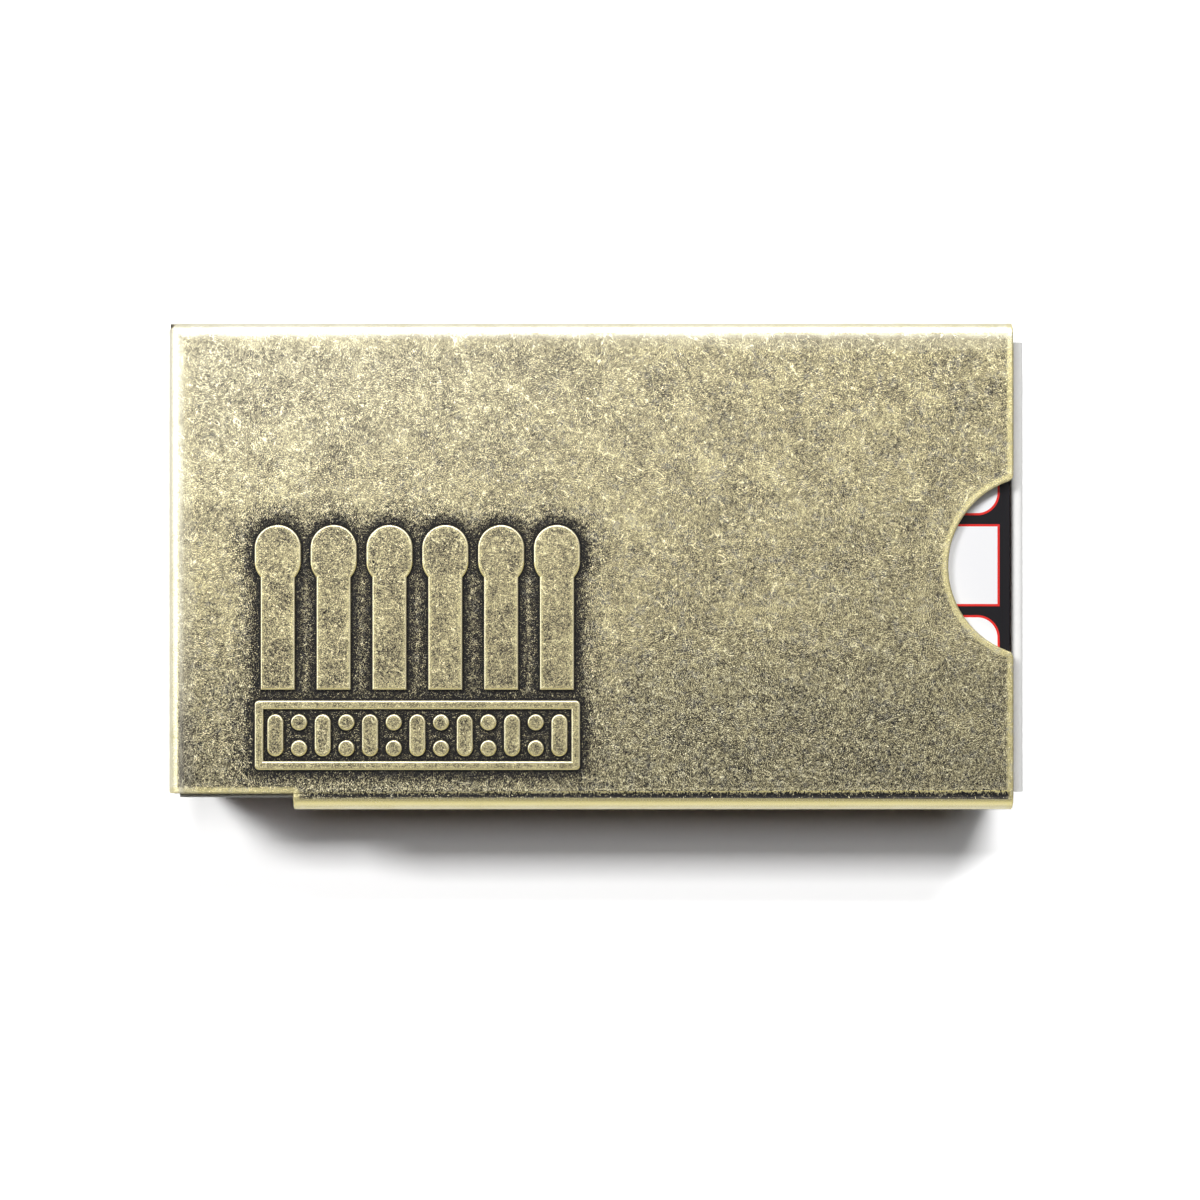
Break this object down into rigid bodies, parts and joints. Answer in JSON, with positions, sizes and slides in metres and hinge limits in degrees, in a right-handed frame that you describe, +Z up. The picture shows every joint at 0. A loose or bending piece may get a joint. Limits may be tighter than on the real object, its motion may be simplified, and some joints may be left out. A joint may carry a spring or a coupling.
{
  "type": "matchbox sleeve",
  "caption": "Folded antique brass sleeve over a household matchbox: closed end and side, lips beside the striking strip, thumb notch at the mouth, sliding card box, tray and matches.",
  "frame": {"origin": "middle of the sleeve's flat back face, which it lies on", "axes": "+X from the closed end to the mouth, +Y to the closed side wall, +Z up through the front face"},
  "size_m": [0.1149, 0.0654, 0.0221],
  "materials": {
    "antique_brass": "aged, mottled, worn bright at the edges",
    "printed_card": "printed, satin",
    "striking_coat": "gritty, matte",
    "plain_card": "uncoated, matte",
    "stick_wood": "split softwood, matte",
    "match_head": "dipped, matte"
  },
  "bodies": {
    "sleeve": {"sleeve_shell": "antique_brass"},
    "matchbox": {"card_box": "printed_card", "striker_lip_side": "striking_coat", "striker_wall_side": "striking_coat"},
    "tray": {"card_tray": "plain_card", "match_sticks_1": "stick_wood", "match_heads_1": "match_head", "match_sticks_2": "stick_wood", "match_heads_2": "match_head", "match_sticks_3": "stick_wood", "match_heads_3": "match_head", "match_sticks_4": "stick_wood", "match_heads_4": "match_head"}
  },
  "joints": [
    {"name": "box_slide", "type": "slide", "parent": "sleeve", "child": "matchbox", "axis": [1, 0, 0], "range_m": [0, 0.116]},
    {"name": "tray_slide", "type": "slide", "parent": "matchbox", "child": "tray", "axis": [1, 0, 0], "range_m": [-0.0021, 0.113]}
  ]
}
